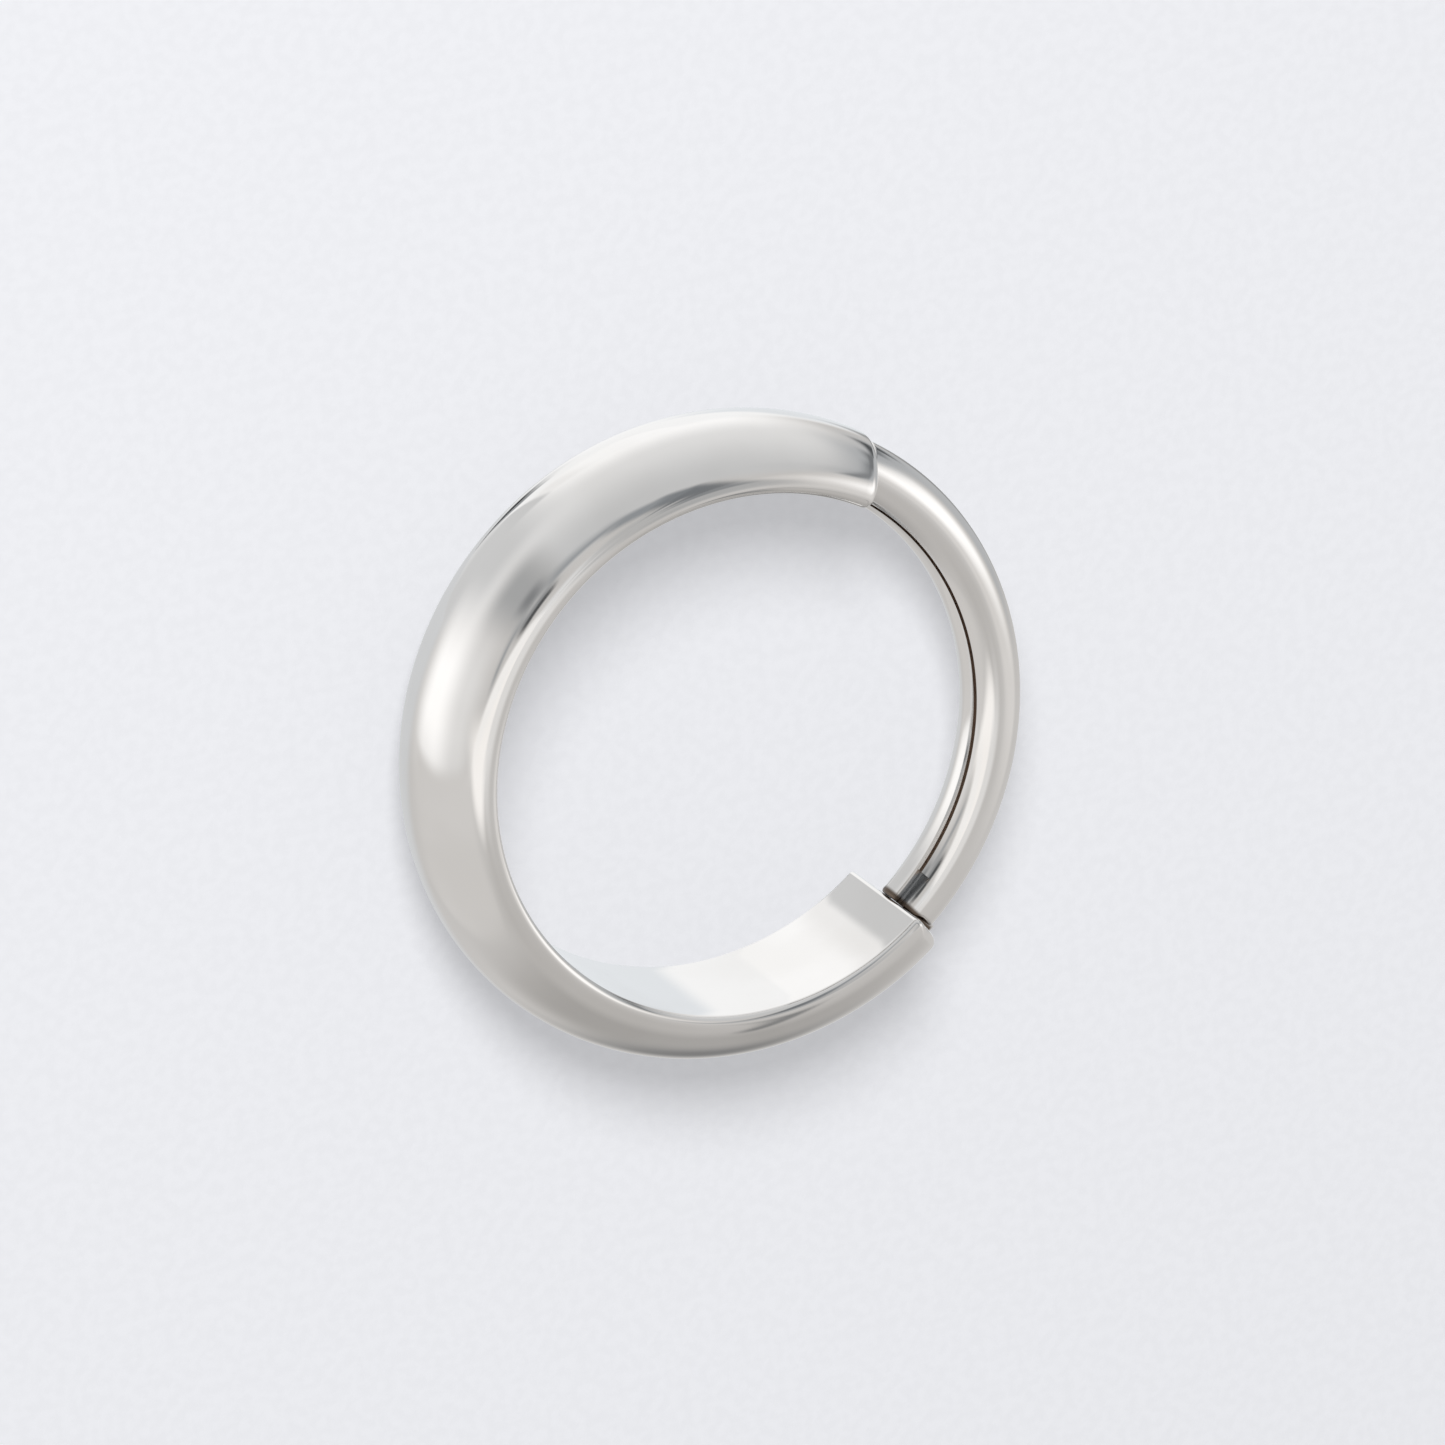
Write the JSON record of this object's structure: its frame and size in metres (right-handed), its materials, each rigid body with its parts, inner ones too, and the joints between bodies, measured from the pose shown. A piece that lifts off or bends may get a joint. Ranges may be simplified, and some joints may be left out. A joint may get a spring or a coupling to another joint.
{
  "type": "huggie hoop earring",
  "caption": "Small domed hoop earring with a flat inner face, closed by a hinged round ear wire that catches in the band's end.",
  "frame": {"origin": "on the hoop's axis, at the level of the lower rim that the hoop lies on", "axes": "+Z along the hoop's axis and up, +X through the middle of the ear wire, -X through the middle of the band"},
  "size_m": [0.0109, 0.011, 0.0027],
  "materials": {
    "polished_band": "mirror polished white precious metal",
    "polished_wire": "mirror polished white precious metal",
    "pin_metal": "plain drawn white metal"
  },
  "bodies": {
    "band": {"domed_band": "polished_band", "hinge_pin": "pin_metal"},
    "wire": {"ear_wire": "polished_wire"}
  },
  "joints": [
    {"name": "ear_wire_hinge", "type": "hinge", "parent": "band", "child": "wire", "pos_m": [0.00258, -0.00453, 0.00142], "axis": [0, 0, -1], "range_deg": [0, 70]}
  ]
}
